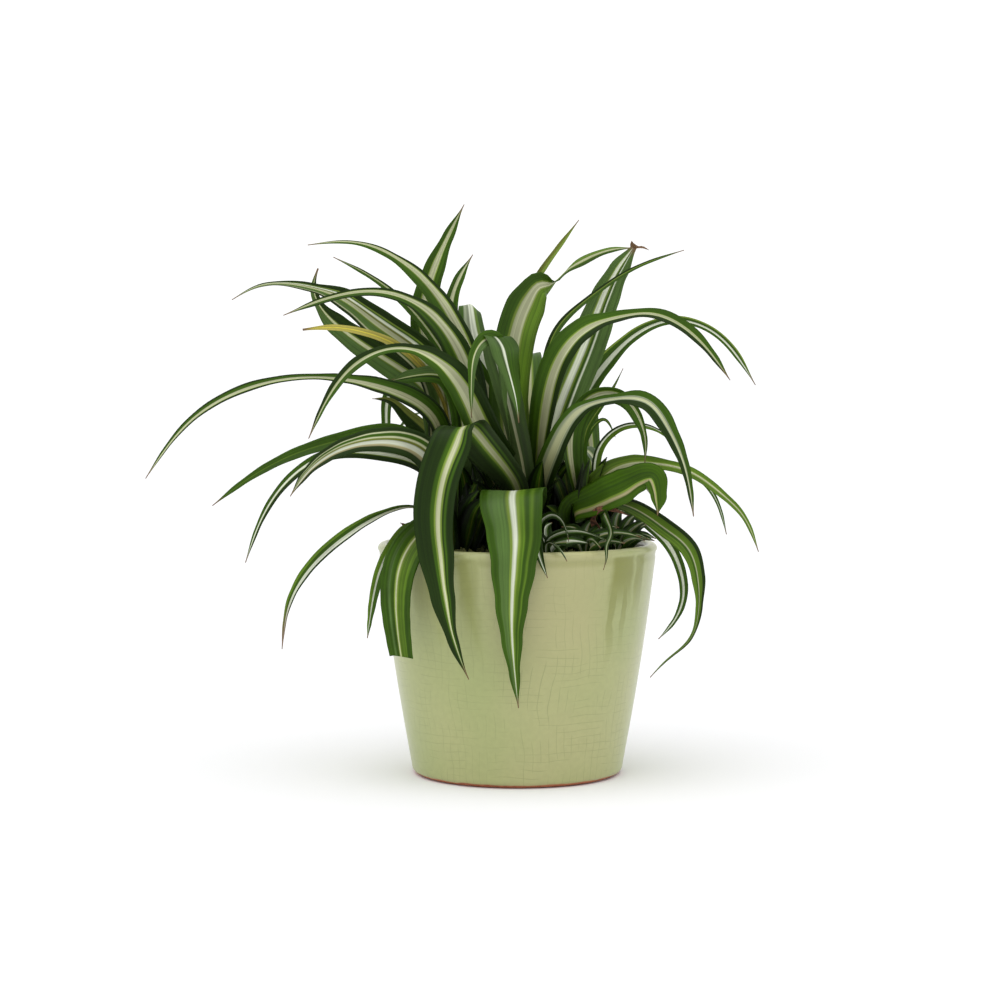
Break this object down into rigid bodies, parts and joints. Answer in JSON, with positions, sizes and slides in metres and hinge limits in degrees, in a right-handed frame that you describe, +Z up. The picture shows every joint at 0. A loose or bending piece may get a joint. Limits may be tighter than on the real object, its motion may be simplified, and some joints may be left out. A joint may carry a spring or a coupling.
{
  "type": "potted spider plant",
  "caption": "Spider plant with arching cream-striped leaves and small curled plantlets in a round tapered pot with a pale green crackle glaze.",
  "frame": {"origin": "centre of the pot's flat foot, on the surface that the pot stands on", "axes": "+Z up along the pot's axis, -Y towards the plant's front, where two leaves fold over the rim; +X to the right as seen from the front"},
  "size_m": [0.2708, 0.2016, 0.2552],
  "materials": {
    "pot_glaze": "gloss",
    "soil": "matte",
    "crown": "matte",
    "leaf": "satin",
    "leaf_dying": "satin",
    "leaf_dry": "matte"
  },
  "bodies": {
    "root": {"crown_front": "crown", "crown_left": "crown", "crown_main": "crown", "crown_right": "crown", "flake_left": "leaf_dry", "flake_right": "leaf_dry", "leaf_back_centre": "leaf", "leaf_back_corner": "leaf", "leaf_back_hanging": "leaf", "leaf_back_left": "leaf", "leaf_back_low_left": "leaf", "leaf_back_low_right": "leaf", "leaf_back_olive": "leaf", "leaf_back_right": "leaf", "leaf_back_side": "leaf", "leaf_centre_thin": "leaf", "leaf_centre_twisted": "leaf", "leaf_folded_left": "leaf", "leaf_folded_right": "leaf", "leaf_front_centre": "leaf", "leaf_front_left": "leaf", "leaf_left_arch": "leaf", "leaf_left_broad": "leaf", "leaf_left_drooping": "leaf", "leaf_left_front": "leaf", "leaf_left_high": "leaf", "leaf_left_hook": "leaf", "leaf_left_inner": "leaf", "leaf_left_long": "leaf", "leaf_left_low": "leaf", "leaf_left_slim": "leaf", "leaf_left_thin": "leaf", "leaf_left_wide": "leaf", "leaf_right_arch": "leaf", "leaf_right_behind": "leaf", "leaf_right_bright": "leaf", "leaf_right_drooping": "leaf", "leaf_right_front": "leaf", "leaf_right_hanging": "leaf", "leaf_right_hoop": "leaf", "leaf_right_inside": "leaf", "leaf_right_long": "leaf", "leaf_right_slim": "leaf", "leaf_right_small": "leaf", "leaf_right_spike": "leaf", "leaf_right_tall": "leaf", "leaf_right_twin": "leaf", "leaf_rim_cut": "leaf", "leaf_rim_narrow": "leaf", "leaf_spike_short": "leaf", "leaf_spike_tall": "leaf", "leaf_top_round": "leaf", "leaf_yellow": "leaf_dying", "plantlet_left": "leaf", "plantlet_middle": "leaf", "plantlet_right": "leaf", "pot": "pot_glaze", "soil": "soil"}
  },
  "joints": []
}
